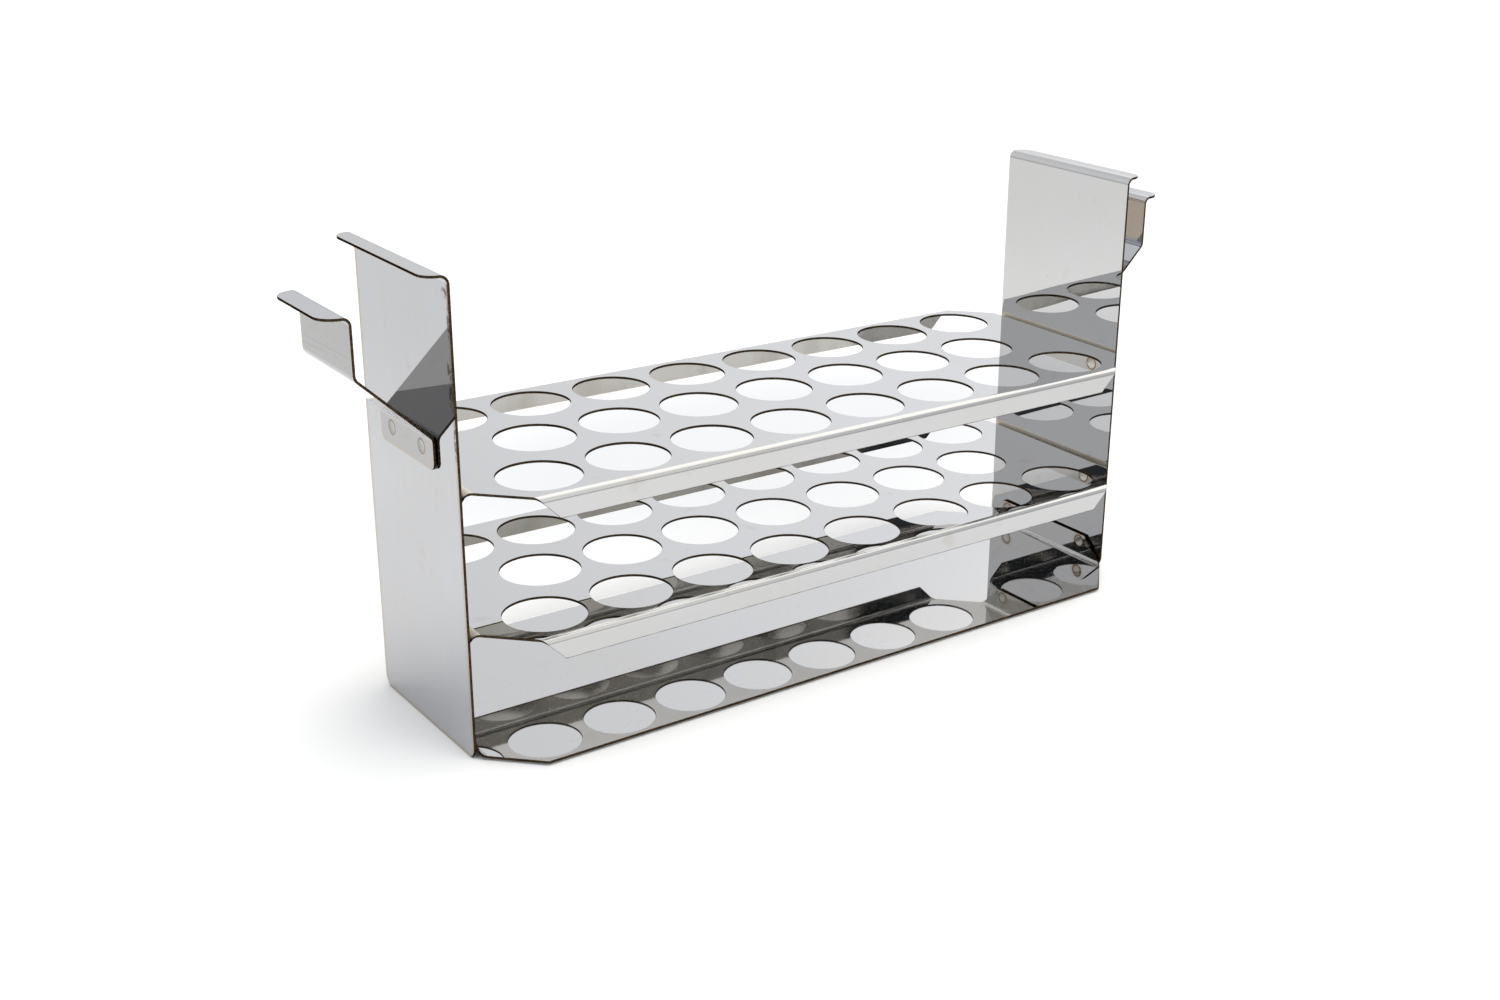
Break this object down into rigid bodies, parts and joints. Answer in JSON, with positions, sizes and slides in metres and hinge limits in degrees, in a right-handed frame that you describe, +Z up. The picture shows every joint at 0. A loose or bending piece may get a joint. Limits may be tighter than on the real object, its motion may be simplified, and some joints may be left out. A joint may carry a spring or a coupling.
{
  "type": "test tube rack",
  "caption": "Folded sheet-steel test tube rack: perforated shelves over a plain base plate, between end plates with outward lips and welded hook brackets.",
  "frame": {"origin": "under the middle of the rack, on the surface it stands on", "axes": "+X along the rack's length, +Y towards the back row of holes, +Z up; the tubes stand along +Z"},
  "size_m": [0.3204, 0.0946, 0.1476],
  "materials": {
    "sheet": "polished stainless sheet",
    "weld": "spot weld with brown heat tint"
  },
  "bodies": {
    "root": {"upper_shelf": "sheet", "middle_shelf": "sheet", "base_plate": "sheet", "left_end_plate": "sheet", "left_hook_bracket": "sheet", "right_end_plate": "sheet", "right_hook_bracket": "sheet", "weld_left_upper_front": "weld", "weld_left_upper_back": "weld", "weld_left_middle_front": "weld", "weld_left_middle_back": "weld", "weld_left_base_front": "weld", "weld_left_base_back": "weld", "weld_left_hook_front": "weld", "weld_left_hook_back": "weld", "weld_right_upper_front": "weld", "weld_right_upper_back": "weld", "weld_right_middle_front": "weld", "weld_right_middle_back": "weld", "weld_right_base_front": "weld", "weld_right_base_back": "weld", "weld_right_hook_front": "weld", "weld_right_hook_back": "weld"}
  },
  "joints": []
}
